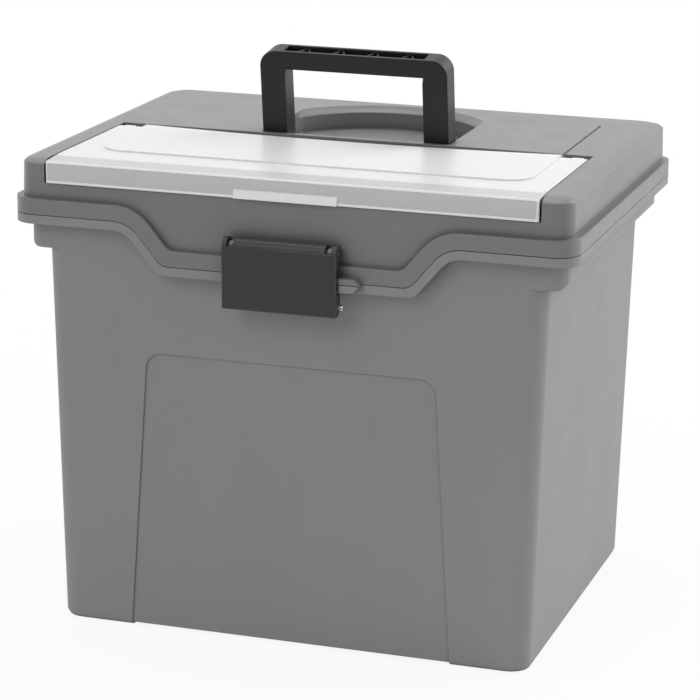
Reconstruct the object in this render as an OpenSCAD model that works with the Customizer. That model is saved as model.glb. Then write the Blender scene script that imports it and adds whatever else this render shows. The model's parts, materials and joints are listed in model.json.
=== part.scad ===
// Portable file box: a tapered tub for hanging folders, a deep hinged lid
// with a supplies tray under a clear flap, a folding handle and a latch.
// X runs along the width, the front faces -Y, Z is up.
// The origin is on the floor under the middle of the box.

/* [Rim and height] */
// Width over the rim
rim_w = 350; // [340:1:380]
// Depth over the rim
rim_d = 263; // [250:1:290]
// Radius of the rim's upright corners
rim_r = 15; // [10:0.5:20]
// Height of the line where lid and tub meet
parting_z = 258.8; // [240:0.1:290]
// Gap between lid and tub along that line
parting_gap = 0.4; // [0.3:0.1:0.8]
// Height of the tub's rim band
rim_h = 5.5; // [4:0.5:8]
// Height of the lid's rim band
flange_h = 10; // [8:0.5:14]

/* [Front wave] */
// How far the rim dips at the middle of the front
wave_drop = 25.2; // [10:0.2:32]
// Half width of the dip at its foot
wave_half = 72.3; // [60:0.1:90]
// Slope of the dip's sides in degrees
wave_slope = 50; // [35:1:60]
// Radius where the slope meets the high rim
wave_r_high = 29; // [20:1:34]
// Radius where the slope meets the low rim
wave_r_low = 9; // [5:1:14]
// Depth of the front strip that follows the wave
wave_strip = 16; // [14:0.5:20]

/* [Tub] */
// Width of the tub just under the collar
tub_top_w = 313.6; // [305:0.2:318]
// Width of the tub at the floor
tub_base_w = 300; // [280:1:310]
// How far the tub's front and back stand in from the rim
tub_in = 9.8; // [9:0.1:14]
// Thickness of the tub's walls
tub_wall = 2.8; // [2.2:0.1:3.5]
// Radius of the tub's upright corners
tub_r = 12; // [8:0.5:16]
// Height of the rounding around the base
base_round = 3.6; // [2:0.2:6]
// Width of the raised middle of the base
base_gap_w = 205; // [120:1:220]
// Height of the raised middle over the floor
base_gap_h = 2.2; // [1.4:0.1:5]
// Thickness of the tub's floor
tub_floor = 3; // [2:0.2:4]

/* [Collar and folder rails] */
// Width over the side collars
collar_w = 336; // [330:0.2:340]
// Height of the collar under the rim
collar_h = 16.4; // [13:0.2:20]
// Height of the rounding under the collar
collar_round = 7; // [4:0.5:8]
// Width of a folder rail
rail_t = 2.2; // [1.6:0.1:3]
// Height of a folder rail over its ledge
rail_h = 5.5; // [3:0.5:7]

/* [Front panel] */
// Height of the panel's top edge
panel_z = 177; // [120:1:190]
// Width of the panel at its top
panel_top_w = 183; // [140:1:200]
// Depth of the panel's recess
panel_in = 1; // [0.6:0.1:1.2]
// Radius of the panel's upper corners
panel_r = 10; // [5:1:20]

/* [Lid] */
// Height of the lid's flat deck over the parting line
lid_h = 33.8; // [32:0.2:40]
// Thickness of the lid's walls
lid_wall = 2.4; // [2:0.1:3]
// How far the lid's wall stands in from the rim
lid_in = 3.4; // [3:0.1:5]
// Draft of the lid's wall from rim to shoulder
lid_draft = 0.9; // [0.2:0.1:2]
// Height of the shoulder under the deck
shoulder_h = 3.2; // [2:0.2:4]
// Width of the shoulder
shoulder_w = 7; // [4:0.5:10]
// Distance from the middle to the deck seam on the right
seam_x = 135; // [120:1:138]
// Depth of the deck seam
seam_t = 1; // [0.5:0.1:1.2]
// Width of the deck seam
seam_w = 1.3; // [0.5:0.1:2]
// Length of the deck seam
seam_l = 97; // [60:1:108]

/* [Supplies tray] */
// Width of the tray's hollow
tray_w = 300; // [280:1:304]
// Distance from the middle back to the tray's rear wall
tray_back = -3; // [-5:0.1:-3]
// Height of the tray's floor over the parting line
tray_z = 5.3; // [4:0.1:8]
// Thickness of the tray's walls and floor
tray_wall = 2; // [1.6:0.1:2.6]
// Depth of the front row for pens
pen_row = 46; // [35:1:60]
// Distance between the two short dividers
divider_gap = 104; // [70:1:140]
// Thickness of the dividers
divider_t = 1.6; // [1.2:0.1:2.4]

/* [Organizer cover] */
// Width of the flap
cover_w = 304.4; // [298:0.2:306]
// Thickness of the flap
cover_t = 2; // [1.6:0.1:2.4]
// Height of the flap's flat part over the deck
cover_over = -0.2; // [-0.5:0.1:0.4]
// Distance from the middle forward to the flap's rear edge
cover_back = -8.7; // [-9:0.1:-8.3]
// Depth of the slope in front of the flap's flat part
slope_d = 17; // [12:1:20]
// Drop of that slope
slope_drop = 1; // [0.6:0.1:1.4]
// Height of the front lip
lip_h = 12.8; // [8:0.2:16]
// Rise of the raised panel
plateau_h = 1; // [0.6:0.1:1.4]
// Width of the raised panel
plateau_w = 271; // [240:1:276]
// Depth of the raised panel
plateau_d = 81; // [50:1:90]
// Height of the flap's axis over the parting line
cover_axis_z = 30.9; // [30:0.1:31.2]
// Width of the thumb tab
tab_w = 64; // [40:1:80]
// Height of the thumb tab
tab_h = 5.2; // [3:0.2:7]
// How far the thumb tab stands out
tab_out = 1.6; // [0.8:0.2:2]

/* [Handle] */
// Width over the handle's legs
handle_w = 121.4; // [110:0.2:130]
// Length from the axis to the top of the grip
handle_l = 60; // [50:1:64]
// Thickness of the handle from front to back
handle_t = 15.5; // [12:0.5:15.5]
// Width of a leg
leg_w = 16; // [13:0.5:18]
// Height of the grip bar
grip_h = 12.2; // [10:0.2:14]
// Radius of the grip's outer corners
handle_r = 10; // [6:0.5:12]
// Forward lean of the raised handle in degrees
handle_lean = 8; // [4:1:10]
// Wall beside the grip's open channel
grip_wall = 2.3; // [1.8:0.1:3]
// Depth of the grip's open channel
channel_deep = 7; // [4:0.5:9]
// Thickness of the ribs in the channel
rib_t = 1.3; // [1:0.1:2]
// Radius of the pins that the legs turn on
handle_pin_r = 2.5; // [2:0.1:3]

/* [Handle well] */
// Gap beside the handle's legs
well_gap = 0.8; // [0.5:0.1:1.5]
// Distance from the well's front wall to its straight sides' end
well_side = 70; // [66:1:80]
// Distance from the well's front wall to its rear end
well_l = 107; // [100:1:110]
// Depth of the well under the deck
well_deep = 14.4; // [14:0.1:16]
// Width of the sloped edge behind the well
well_slope = 5; // [2:0.5:6]

/* [Latch] */
// Width of the latch plate
latch_w = 70.6; // [56:0.2:74]
// Height of the latch plate under its axis
latch_h = 37.4; // [34:0.1:38]
// Thickness of the latch plate
latch_t = 2.4; // [2:0.1:3]
// Thickness of a cheek
cheek_t = 2.8; // [2.2:0.1:3.4]
// Radius of a cheek's upper end
cheek_r = 5.2; // [4.8:0.1:5.4]
// Length of a lug that holds the latch pin
lug_l = 3; // [3:0.5:8]
// Distance from the rim's front forward to the latch axis
latch_axis_y = 3.8; // [3.4:0.1:4]
// Height of the latch axis over the low part of the lid's rim
latch_axis_z = 8.1; // [7.6:0.1:9]
// Radius of the latch pin
latch_pin_r = 1.5; // [1.2:0.1:1.8]
// Radius of the rod across the latch's foot
rod_r = 1.8; // [1.5:0.1:2]
// Height of the rod over the latch's lower edge
rod_up = 5.3; // [4:0.1:7]
// How far the rod's right end stands out of its cheek
rod_end = 3; // [0.2:0.1:3.5]
// How far the pair of tabs right of the latch reaches from the middle
tab_reach = 49; // [44:0.5:56]
// How far the tabs stand out
boss_out = 6; // [4:0.2:6.2]
// Height of the upper tab
tab_up = 3.4; // [2.4:0.2:6]
// Height of the lower tab
tab_low = 4.4; // [3:0.2:5.4]

/* [Lid hinges] */
// Distance from the rim's side to each hinge
hinge_in = 75; // [55:1:100]
// Radius of the hinge knuckles
hinge_r = 4; // [3.5:0.1:4.2]
// Radius of the hinge pins
hinge_pin_r = 1.5; // [1.2:0.1:2]
// Length of the lid's middle knuckle
knuckle_l = 24; // [16:1:40]
// Distance from the rim's back to the hinge axis
hinge_out = 5; // [4.8:0.1:6]

/* [Fits] */
// Radial gap of a pin that turns in its bore
run_gap = 0.05; // [0.02:0.01:0.1]
// Gap between parts that pass each other
part_gap = 0.6; // [0.4:0.1:1]

/* [Hidden] */
$fn = 48;
e = 0.01;
front = -rim_d / 2;
back = rim_d / 2;
tub_d = rim_d - 2 * tub_in;
hinge_x = rim_w / 2 - hinge_in;
deck_z = parting_z + lid_h;
flange_z = parting_z + flange_h;
low_flange_z = flange_z - wave_drop;
lid_in_top = lid_in + lid_draft;
lid_front = front + lid_in;
lid_half_w = rim_w / 2 - lid_in;
collar_z = parting_z - rim_h - collar_h;
ledge_z = collar_z + tub_wall;
strip_y = front + wave_strip;
tray_front = front + lid_in_top + 3.2 + tray_wall;
tray_floor = parting_z + tray_z;
cover_z = deck_z + cover_over;
seat_z = cover_z - cover_t - 0.3;
cover_front = front + lid_in - 0.9;
lip_top = cover_z - slope_drop;
lip_z = lip_top - lip_h;
cover_axis_y = cover_back - 2;
cover_axis = parting_z + cover_axis_z;
stub_r = 1.6;
lug_in = 7;
lug_x = tray_w / 2 - part_gap;
well_front = 1.4;
well_half = handle_w / 2 + well_gap;
handle_axis_z = deck_z - well_deep + handle_t / 2 + 0.7;
handle_axis_y = well_front + 0.3
    + (handle_t / 2 + (deck_z - handle_axis_z) * sin(handle_lean)) / cos(handle_lean);
plate_y = front - latch_axis_y - cheek_r;
latch_y = front - latch_axis_y;
latch_z = low_flange_z + latch_axis_z;
plate_z = latch_z - latch_h;
rod_z = plate_z + rod_up;
rod_y = front - part_gap - rod_r - 0.7;
cheek_x = latch_w / 2;
cheek_in = cheek_x - cheek_t;
lug_gap = 0.6;
lug_r = 2.9;
cover_gap = 1.2;
hinge_y = back + hinge_out;
pin_l = 3 * knuckle_l - 2 * part_gap;
clear_plastic = [0.90, 0.91, 0.92, 0.55];
tub_grey = [0.50, 0.50, 0.51];
lid_grey = [0.62, 0.62, 0.63];
charcoal = [0.17, 0.17, 0.18];
steel = [0.75, 0.76, 0.78];

// Rounded rectangle made of exact arcs and straight sides.
module round_rect(w, d, r) {
    square([w - 2 * r, d], center = true);
    square([w, d - 2 * r], center = true);
    for (x = [-1, 1], y = [-1, 1])
        translate([x * (w / 2 - r), y * (d / 2 - r)])
            circle(r);
}

// Upright slab with rounded corners between two heights.
module slab(w, d, r, z0, z1) {
    translate([0, 0, z0])
        linear_extrude(z1 - z0)
            round_rect(w, d, r);
}

// Thin slab used as one station of a hull.
module station(w, d, r, z) {
    translate([0, 0, z])
        linear_extrude(e)
            round_rect(w, d, r, $fn = 32);
}

// Box between two corners.
module span(a, b) {
    translate(a)
        cube(b - a);
}

// Cylinder along X between two places.
module rod_x(x0, x1, y, z, r) {
    translate([x0, y, z])
        rotate([0, 90, 0])
            cylinder(h = x1 - x0, r = r);
}

// Outline drawn in X and Z, made solid between two Y places.
module along_y(y0, y1) {
    translate([0, y1, 0])
        rotate([90, 0, 0])
            linear_extrude(y1 - y0)
                children();
}

// Outline drawn in Y and Z, made solid between two X places.
module along_x(x0, x1) {
    translate([x0, 0, 0])
        rotate([90, 0, 90])
            linear_extrude(x1 - x0)
                children();
}

// Right half of the wavy line, set down square to itself by d.
function wave_right(d) =
    let (a = wave_slope,
         run = wave_drop / tan(a),
         xl = wave_half + d * tan(a / 2),
         xh = xl + run,
         zl = flange_z - d - wave_drop,
         zh = flange_z - d,
         rl = wave_r_low,
         rh = wave_r_high - 0.8 * d,
         cl = xl - rl * tan(a / 2),
         ch = xh + rh * tan(a / 2),
         n = 8)
    concat([for (i = [0 : n]) [cl + rl * sin(a * i / n), zl + rl - rl * cos(a * i / n)]],
           [for (i = [n : -1 : 0]) [ch - rh * sin(a * i / n), zh - rh + rh * cos(a * i / n)]],
           [[rim_w, zh]]);

// Everything below the wavy line, down to z0.
module under_wave(d, z0) {
    right = wave_right(d);
    last = len(right) - 1;
    left = [for (i = [last : -1 : 0]) [-right[i][0], right[i][1]]];
    polygon(concat(left, right, [[rim_w, z0], [-rim_w, z0]]));
}

// Solid below the wavy line in the front strip and below flat_z behind it.
module below_parting(d, z0) {
    along_y(front - 20, strip_y)
        under_wave(d, z0);
    span([-rim_w, strip_y - e, z0], [rim_w, back + 40, flange_z - d]);
}

// Tapered body of the tub, shrunk by a wall and started at a height.
module tub_body(shrink, z0, z1, round_h) {
    w0 = tub_base_w - 2 * shrink;
    w1 = tub_top_w - 2 * shrink;
    d = tub_d - 2 * shrink;
    r = tub_r - shrink;
    hull() {
        station(w0 - 2 * round_h, d - 2 * round_h, r - round_h / 2, z0);
        station(w0 - 0.6 * round_h, d - 0.6 * round_h, r, z0 + 0.3 * round_h);
        station(w0, d, r, z0 + round_h);
        station(w1, d, r, z1);
    }
}

// Side collars with round lower edges, shrunk by a wall.
module collar_body(shrink, z0, z1) {
    w = collar_w - 2 * shrink;
    d = tub_d - 2 * shrink;
    r = collar_round - shrink;
    intersection() {
        slab(w, d, tub_r - shrink, z0 - 1, z1);
        along_y(-d, d) {
            translate([-w / 2 + r, z0])
                square([w - 2 * r, z1 - z0 + 1]);
            translate([-w / 2, z0 + r])
                square([w, z1 - z0 - r + 1]);
            for (s = [-1, 1])
                translate([s * (w / 2 - r), z0 + r])
                    circle(r);
        }
    }
}

// Sloped sheet that marks the front panel, with rounded upper corners.
module panel_outline() {
    hull() {
        for (x = [-1, 1])
            translate([x * (panel_top_w / 2 - panel_r), panel_z - panel_r])
                circle(panel_r, $fn = 40);
        translate([-base_gap_w / 2, -1])
            square([base_gap_w, 2]);
    }
}

module tub_rim() {
    difference() {
        slab(rim_w, rim_d, rim_r, low_flange_z - flange_h - rim_h - 1, parting_z);
        difference() {
            span([-rim_w, front - 1, 0], [rim_w, back + 1, deck_z]);
            intersection() {
                below_parting(flange_h, 0);
                difference() {
                    span([-rim_w, front - 1, 0], [rim_w, back + 1, deck_z]);
                    below_parting(flange_h + rim_h, -1);
                }
            }
        }
    }
}

module tub_knuckles() {
    for (s = [-1, 1], k = [-1, 1]) {
        long = knuckle_l - 2 * part_gap;
        x0 = s * hinge_x + k * (knuckle_l - part_gap / 2) - long / 2 + k * part_gap / 2;
        difference() {
            union() {
                rod_x(x0, x0 + long, hinge_y, parting_z, hinge_r);
                span([x0, back - 3, parting_z - rim_h], [x0 + long, hinge_y, parting_z - 0.5]);
            }
            rod_x(x0 - 1, x0 + long + 1, hinge_y, parting_z, hinge_pin_r);
        }
    }
}

module tub() {
    low_z = low_flange_z - flange_h;
    color(tub_grey) {
        difference() {
            union() {
                tub_body(0, 0, parting_z - 1, base_round);
                collar_body(0, collar_z, parting_z - 1);
                tub_rim();
            }
            difference() {
                union() {
                    tub_body(tub_wall, tub_floor, parting_z - 1, base_round);
                    collar_body(tub_wall, ledge_z, parting_z + 1);
                }
                span([-base_gap_w / 2 - tub_wall, front, 0],
                     [base_gap_w / 2 + tub_wall, back, base_gap_h + tub_floor]);
            }
            span([-base_gap_w / 2, front, -1], [base_gap_w / 2, back, base_gap_h]);
            along_y(-tub_d / 2 - 5, -tub_d / 2 + panel_in)
                panel_outline();
            difference() {
                span([-rim_w, front - 1, low_z - 20], [rim_w, strip_y, deck_z]);
                below_parting(flange_h, 0);
            }
        }
        for (s = [-1, 1])
            translate([s * (tub_top_w / 2 - tub_wall + rail_t / 2 - 0.6), 0, 0])
                span([-rail_t / 2, -tub_d / 2 + tub_wall - e, ledge_z - 2],
                     [rail_t / 2, tub_d / 2 - tub_wall + e, ledge_z + rail_h]);
        along_y(front - boss_out, front + 1)
            polygon([[cheek_x + part_gap, low_z - tab_low],
                     [tab_reach - 5, low_z - tab_low],
                     [tab_reach - 1.5, low_z - 1],
                     [tab_reach - 1.5, low_z],
                     [cheek_x + part_gap, low_z]]);
        span([-latch_w / 2 + 9, front - 0.9, low_z - rim_h - 5],
             [latch_w / 2 - 9, front + 2.5, low_z - rim_h + 1]);
        tub_knuckles();
    }
}

// Filled outside form of the lid above the parting line.
module lid_form() {
    w = rim_w - 2 * lid_in;
    d = rim_d - 2 * lid_in;
    r = rim_r - lid_in;
    top = deck_z - shoulder_h;
    difference() {
        union() {
            hull() {
                station(w, d, r, low_flange_z);
                station(w - 2 * lid_draft, d - 2 * lid_draft, r, top);
                station(w - 2 * lid_draft - 0.5 * shoulder_w,
                        d - 2 * lid_draft - 0.5 * shoulder_w, r, top + 0.55 * shoulder_h);
                station(w - 2 * lid_draft - 2 * shoulder_w,
                        d - 2 * lid_draft - 2 * shoulder_w, r - 2, deck_z - e);
            }
            intersection() {
                slab(rim_w, rim_d, rim_r, low_flange_z - flange_h, flange_z);
                below_parting(0, 0);
            }
        }
        translate([0, 0, parting_gap])
            below_parting(flange_h, -1);
    }
}

// Space inside the lid's shell, open below.
module lid_space() {
    w = rim_w - 2 * lid_in - 2 * lid_wall;
    d = rim_d - 2 * lid_in - 2 * lid_wall;
    slab(w - 2 * lid_draft, d - 2 * lid_draft, rim_r - lid_in - lid_wall,
         0, deck_z - shoulder_h - lid_wall + 1);
    slab(w - 2 * shoulder_w, d - 2 * shoulder_w, rim_r - lid_in - lid_wall,
         deck_z - shoulder_h - lid_wall, deck_z - lid_wall);
}

// Plan of the handle well: straight sides and a round rear end.
module well_plan(grow) {
    h = well_half + grow;
    bow = well_l - well_side;
    big = (well_half * well_half + bow * bow) / (2 * bow);
    translate([-h, well_front - grow])
        square([2 * h, well_side + grow]);
    intersection() {
        translate([0, well_front + well_l - big])
            circle(big + grow, $fn = 96);
        translate([-h, well_front + well_side / 2])
            square([2 * h, 2 * well_l]);
    }
}

module handle_well() {
    bow = well_l - well_side;
    big = (well_half * well_half + bow * bow) / (2 * bow);
    translate([0, 0, deck_z - well_deep])
        linear_extrude(well_deep + 1)
            well_plan(0);
    intersection() {
        translate([0, well_front + well_l - big, deck_z - well_slope * 0.8])
            cylinder(h = well_slope, r1 = big, r2 = big + well_slope * 1.25, $fn = 96);
        span([-well_half, well_front + well_side - 4, 0],
             [well_half, well_front + 2 * well_l, deck_z + 5]);
    }
}

module tray_hollow() {
    span([-tray_w / 2, tray_front, tray_floor], [tray_w / 2, tray_back, deck_z + 5]);
}

module lid_knuckles() {
    for (s = [-1, 1]) {
        x0 = s * hinge_x - knuckle_l / 2;
        difference() {
            union() {
                rod_x(x0, x0 + knuckle_l, hinge_y, parting_z, hinge_r);
                span([x0, back - 3, parting_z + 0.5],
                     [x0 + knuckle_l, hinge_y, parting_z + hinge_r - 0.3]);
            }
            rod_x(x0 - 1, x0 + knuckle_l + 1, hinge_y, parting_z, hinge_pin_r + run_gap);
        }
    }
}

module latch_lugs() {
    for (s = [-1, 1]) {
        x0 = s > 0 ? cheek_in - lug_gap - lug_l : -cheek_in + lug_gap;
        difference() {
            union() {
                rod_x(x0, x0 + lug_l, latch_y, latch_z, lug_r);
                span([x0, latch_y, latch_z - lug_r + 0.3],
                     [x0 + lug_l, lid_front + 1, latch_z + lug_r - 0.3]);
                span([x0, front + 0.5, low_flange_z - 1],
                     [x0 + lug_l, lid_front + 1, latch_z]);
            }
            rod_x(x0 - 1, x0 + lug_l + 1, latch_y, latch_z, latch_pin_r + run_gap);
        }
    }
}

module tray_dividers() {
    y = tray_front + pen_row;
    top = seat_z - 2.4;
    span([-tray_w / 2 - 1, y, tray_floor - 1], [tray_w / 2 + 1, y + divider_t, top]);
    for (s = [-1, 1])
        translate([s * divider_gap / 2 - divider_t / 2, 0, 0])
            span([0, y, tray_floor - 1], [divider_t, tray_back + 1, top - 5]);
}

module lid() {
    boss_z = low_flange_z - flange_h + parting_gap;
    color(lid_grey)
        difference() {
            union() {
                difference() {
                    lid_form();
                    difference() {
                        lid_space();
                        span([-tray_w / 2 - tray_wall, front, tray_floor - tray_wall],
                             [tray_w / 2 + tray_wall, well_front, deck_z + 1]);
                        translate([0, 0, deck_z - well_deep - tray_wall])
                            linear_extrude(well_deep + tray_wall)
                                well_plan(tray_wall);
                        translate([0, 0, deck_z - well_slope - lid_wall])
                            linear_extrude(well_slope + lid_wall)
                                well_plan(well_slope + tray_wall);
                        for (s = [-1, 1])
                            translate([s * (well_half + 4), 0, 0])
                                span([-4, handle_axis_y - 6, handle_axis_z - 6],
                                     [4, handle_axis_y + 6, deck_z]);
                    }
                }
                lid_knuckles();
                latch_lugs();
                along_y(front - boss_out, front + 1)
                    polygon([[-latch_w / 2 + 9, boss_z], [tab_reach, boss_z],
                             [tab_reach - 4, boss_z + tab_up],
                             [-latch_w / 2 + 9, boss_z + tab_up]]);
            }
            difference() {
                union() {
                    tray_hollow();
                    span([-cover_w / 2 - cover_gap, front - 5, seat_z],
                         [cover_w / 2 + cover_gap, tray_back, deck_z + 5]);
                    span([-cover_w / 2 - cover_gap, front - 5, seat_z - slope_drop],
                         [cover_w / 2 + cover_gap, cover_front + slope_d + 1, deck_z + 5]);
                    span([-cover_w / 2 - cover_gap, front - 5, lip_z - 0.4],
                         [cover_w / 2 + cover_gap, tray_front - tray_wall, deck_z + 5]);
                }
                tray_dividers();
            }
            handle_well();
            for (s = [-1, 1]) {
                rod_x(s * (well_half + 4) - 4.8, s * (well_half + 4) + 4.8,
                      handle_axis_y, handle_axis_z, handle_pin_r);
                rod_x(s * (tray_w / 2 + 3) - 4, s * (tray_w / 2 + 3) + 4,
                      cover_axis_y, cover_axis, stub_r + run_gap);
            }
            span([seam_x - seam_w / 2, tray_back - 1, deck_z - seam_t],
                 [seam_x + seam_w / 2, tray_back - 1 + seam_l, deck_z + 1]);
        }
}

module organizer_cover() {
    y1 = cover_back - 3.3;
    y2 = cover_front + slope_d;
    color(clear_plastic) {
        difference() {
            union() {
                span([-cover_w / 2, y2, cover_z - cover_t], [cover_w / 2, y1, cover_z]);
                hull() {
                    span([-cover_w / 2, y2, cover_z - cover_t], [cover_w / 2, y2 + e, cover_z]);
                    span([-cover_w / 2, cover_front, lip_top - cover_t],
                         [cover_w / 2, cover_front + 1, lip_top]);
                }
                span([-cover_w / 2, cover_front, lip_z],
                     [cover_w / 2, cover_front + cover_t, lip_top - cover_t + 0.5]);
                span([-plateau_w / 2, y1 - 1, cover_z - cover_t],
                     [plateau_w / 2, cover_back, cover_z]);
                translate([0, cover_back - plateau_d / 2, cover_z - 1])
                    linear_extrude(plateau_h + 1)
                        union() {
                            round_rect(plateau_w, plateau_d, 16);
                            translate([-plateau_w / 2, 0])
                                square([plateau_w, plateau_d / 2]);
                        }
            }
            translate([0, cover_back - plateau_d / 2 - 1, cover_z - cover_t - 1])
                linear_extrude(plateau_h + 1)
                    round_rect(plateau_w - 6, plateau_d - 6, 14);
        }
        span([-tab_w / 2, cover_front - tab_out, lip_z],
             [tab_w / 2, cover_front + 1, lip_z + tab_h]);
        for (s = [-1, 1]) {
            x0 = s > 0 ? lug_x - lug_in : -lug_x;
            rod_x(x0, x0 + lug_in, cover_axis_y, cover_axis, 2.2);
            span([x0, y1 - 4, cover_z - cover_t - e],
                 [x0 + lug_in, cover_axis_y + 1, cover_z]);
            span([x0, cover_axis_y - 5, cover_axis - 2.2],
                 [x0 + lug_in, cover_axis_y, cover_z - 0.5]);
            rod_x(s > 0 ? x0 + 1 : -lug_x - 2.8, s > 0 ? lug_x + 2.8 : x0 + lug_in - 1,
                  cover_axis_y, cover_axis, stub_r);
        }
    }
}

// Handle outline, standing up from its axis.
module handle_outline() {
    half = handle_w / 2;
    inner = half - leg_w;
    difference() {
        union() {
            translate([-half, 0])
                square([2 * half, handle_l - handle_r]);
            translate([-half + handle_r, 0])
                square([2 * half - 2 * handle_r, handle_l]);
            for (s = [-1, 1])
                translate([s * (half - handle_r), handle_l - handle_r])
                    circle(handle_r);
        }
        translate([-inner, -1])
            square([2 * inner, handle_l - grip_h + 1]);
    }
}

// One inverted-V rib seen from above the channel.
module channel_rib() {
    deep = handle_t - 2 * grip_wall + 1;
    for (s = [-1, 1])
        polygon([[s * 0.2, deep / 2], [s * (0.2 + 1.2 * rib_t), deep / 2],
                 [s * (6 + 0.6 * rib_t), -deep / 2], [s * (6 - 0.6 * rib_t), -deep / 2]]);
}

module handle() {
    half = handle_w / 2;
    inner = half - leg_w;
    color(charcoal)
        translate([0, handle_axis_y, handle_axis_z])
            rotate([handle_lean, 0, 0])
                difference() {
                    union() {
                        along_y(-handle_t / 2, handle_t / 2)
                            handle_outline();
                        for (s = [-1, 1])
                            rod_x(s * (half - leg_w / 2) - leg_w / 2,
                                  s * (half - leg_w / 2) + leg_w / 2, 0, 0, handle_t / 2);
                    }
                    difference() {
                        translate([-inner, -handle_t / 2 + grip_wall, handle_l - channel_deep])
                            cube([2 * inner, handle_t - 2 * grip_wall, channel_deep + 1]);
                        for (k = [-1.5 : 1 : 1.5])
                            translate([k * inner / 2, 0, handle_l - channel_deep - 1])
                                linear_extrude(channel_deep - 0.5)
                                    channel_rib();
                    }
                    for (s = [-1, 1])
                        rod_x(s * half - 13, s * half + 13, 0, 0, handle_pin_r + run_gap);
                    for (f = [-1, 1])
                        translate([0, f * handle_t / 2, handle_l - grip_h])
                            rotate([45, 0, 0])
                                cube([2 * inner - 3, 4, 4], center = true);
                }
}

// Side view of a cheek, drawn in Y and Z.
module cheek_outline() {
    y0 = plate_y + 1;
    leg_y = front - part_gap - 0.3;
    notch_y = front - boss_out - part_gap;
    notch_low = low_flange_z - flange_h - rim_h - 0.6;
    notch_top = low_flange_z - 1.6;
    difference() {
        union() {
            translate([latch_y, latch_z])
                circle(cheek_r);
            polygon([[y0, latch_z], [y0, plate_z + 1.5], [y0 + 1.5, plate_z],
                     [leg_y - 3, plate_z], [leg_y, plate_z + 4], [leg_y, notch_low],
                     [notch_y, notch_low], [notch_y, notch_top],
                     [latch_y + 2.6, latch_z - cheek_r - 0.6], [latch_y + 2.6, latch_z]]);
        }
        translate([latch_y, latch_z])
            circle(latch_pin_r);
        translate([rod_y, rod_z])
            circle(rod_r);
    }
}

module latch() {
    barrel = cheek_in - lug_l - 2 * lug_gap;
    color(charcoal) {
        difference() {
            union() {
                span([-cheek_x, plate_y, plate_z], [cheek_x, plate_y + latch_t, latch_z + 0.3]);
                rod_x(-barrel, barrel, latch_y, latch_z, cheek_r - 0.3);
                for (s = [-1, 1])
                    along_x(s > 0 ? cheek_in : -cheek_x, s > 0 ? cheek_x : -cheek_in)
                        cheek_outline();
            }
            rod_x(-cheek_x - 1, cheek_x + 1, latch_y, latch_z, latch_pin_r);
            for (s = [-1, 1])
                rod_x(s > 0 ? barrel : -cheek_in, s > 0 ? cheek_in : -barrel,
                      latch_y, latch_z, lug_r + 0.4);
        }
    }
}

module latch_pin() {
    color(steel)
        rod_x(-cheek_x + 0.3, cheek_x - 0.3, latch_y, latch_z, latch_pin_r);
}

module catch_rod() {
    color(steel)
        rod_x(-cheek_x + 0.3, cheek_x + rod_end, rod_y, rod_z, rod_r);
}

module hinge_pin(s) {
    color(steel)
        rod_x(s * hinge_x - pin_l / 2, s * hinge_x + pin_l / 2,
              hinge_y, parting_z, hinge_pin_r);
}

module hinge_pin_left() {
    hinge_pin(-1);
}

module hinge_pin_right() {
    hinge_pin(1);
}

module handle_pin(s) {
    mid = s * (handle_w / 2 - 1.5);
    color(steel)
        rod_x(mid - 9, mid + 9, handle_axis_y, handle_axis_z, handle_pin_r);
}

module handle_pin_left() {
    handle_pin(-1);
}

module handle_pin_right() {
    handle_pin(1);
}

tub();
lid();
organizer_cover();
handle();
latch();
latch_pin();
catch_rod();
hinge_pin_left();
hinge_pin_right();
handle_pin_left();
handle_pin_right();
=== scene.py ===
"""Looks of a portable file box for hanging folders.

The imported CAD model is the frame. The moulded shells are welded copies of its
nodes, refined in metres. The handle is built anew in millimetres and scaled to
metres once it is whole. The steel pins keep their CAD form and get a finish.
"""

import json
import logging
import math
from dataclasses import dataclass
from enum import Enum
from typing import Any, Callable, Sequence

import bmesh
import bpy
from bmesh.types import BMEdge, BMesh, BMFace, BMVert
from bpy.types import Material, Node, NodeSocket, NodeTree, Object
from mathutils import Matrix, Vector

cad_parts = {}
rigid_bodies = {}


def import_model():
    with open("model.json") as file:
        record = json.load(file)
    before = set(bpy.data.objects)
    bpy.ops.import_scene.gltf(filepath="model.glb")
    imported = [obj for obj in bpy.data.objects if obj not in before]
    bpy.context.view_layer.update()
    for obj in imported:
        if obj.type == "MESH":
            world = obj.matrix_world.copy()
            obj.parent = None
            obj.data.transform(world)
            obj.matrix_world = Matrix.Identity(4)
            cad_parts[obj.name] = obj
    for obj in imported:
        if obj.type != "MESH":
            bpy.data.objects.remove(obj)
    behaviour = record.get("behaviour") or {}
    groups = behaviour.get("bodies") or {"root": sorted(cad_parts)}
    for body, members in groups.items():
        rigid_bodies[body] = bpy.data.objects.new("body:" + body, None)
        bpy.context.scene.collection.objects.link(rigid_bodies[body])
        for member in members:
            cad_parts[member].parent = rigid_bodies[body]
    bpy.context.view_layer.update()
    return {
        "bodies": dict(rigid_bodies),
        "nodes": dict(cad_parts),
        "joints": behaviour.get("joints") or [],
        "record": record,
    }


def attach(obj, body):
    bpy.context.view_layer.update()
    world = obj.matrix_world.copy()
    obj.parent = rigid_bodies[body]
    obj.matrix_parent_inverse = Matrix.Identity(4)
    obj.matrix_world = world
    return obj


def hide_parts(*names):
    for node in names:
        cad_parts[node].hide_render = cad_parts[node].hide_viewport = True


LOG = logging.getLogger("file_box")
MM = 0.001
Color = tuple[float, float, float]
Point = tuple[float, float, float]


class Axis(Enum):
    """Directions of the box, as vectors."""

    X = (1.0, 0.0, 0.0)
    Y = (0.0, 1.0, 0.0)
    Z = (0.0, 0.0, 1.0)

    @property
    def vector(self) -> Vector:
        """The axis as a vector."""
        return Vector(self.value)


# ---------------------------------------------------------------- node graphs


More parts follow.
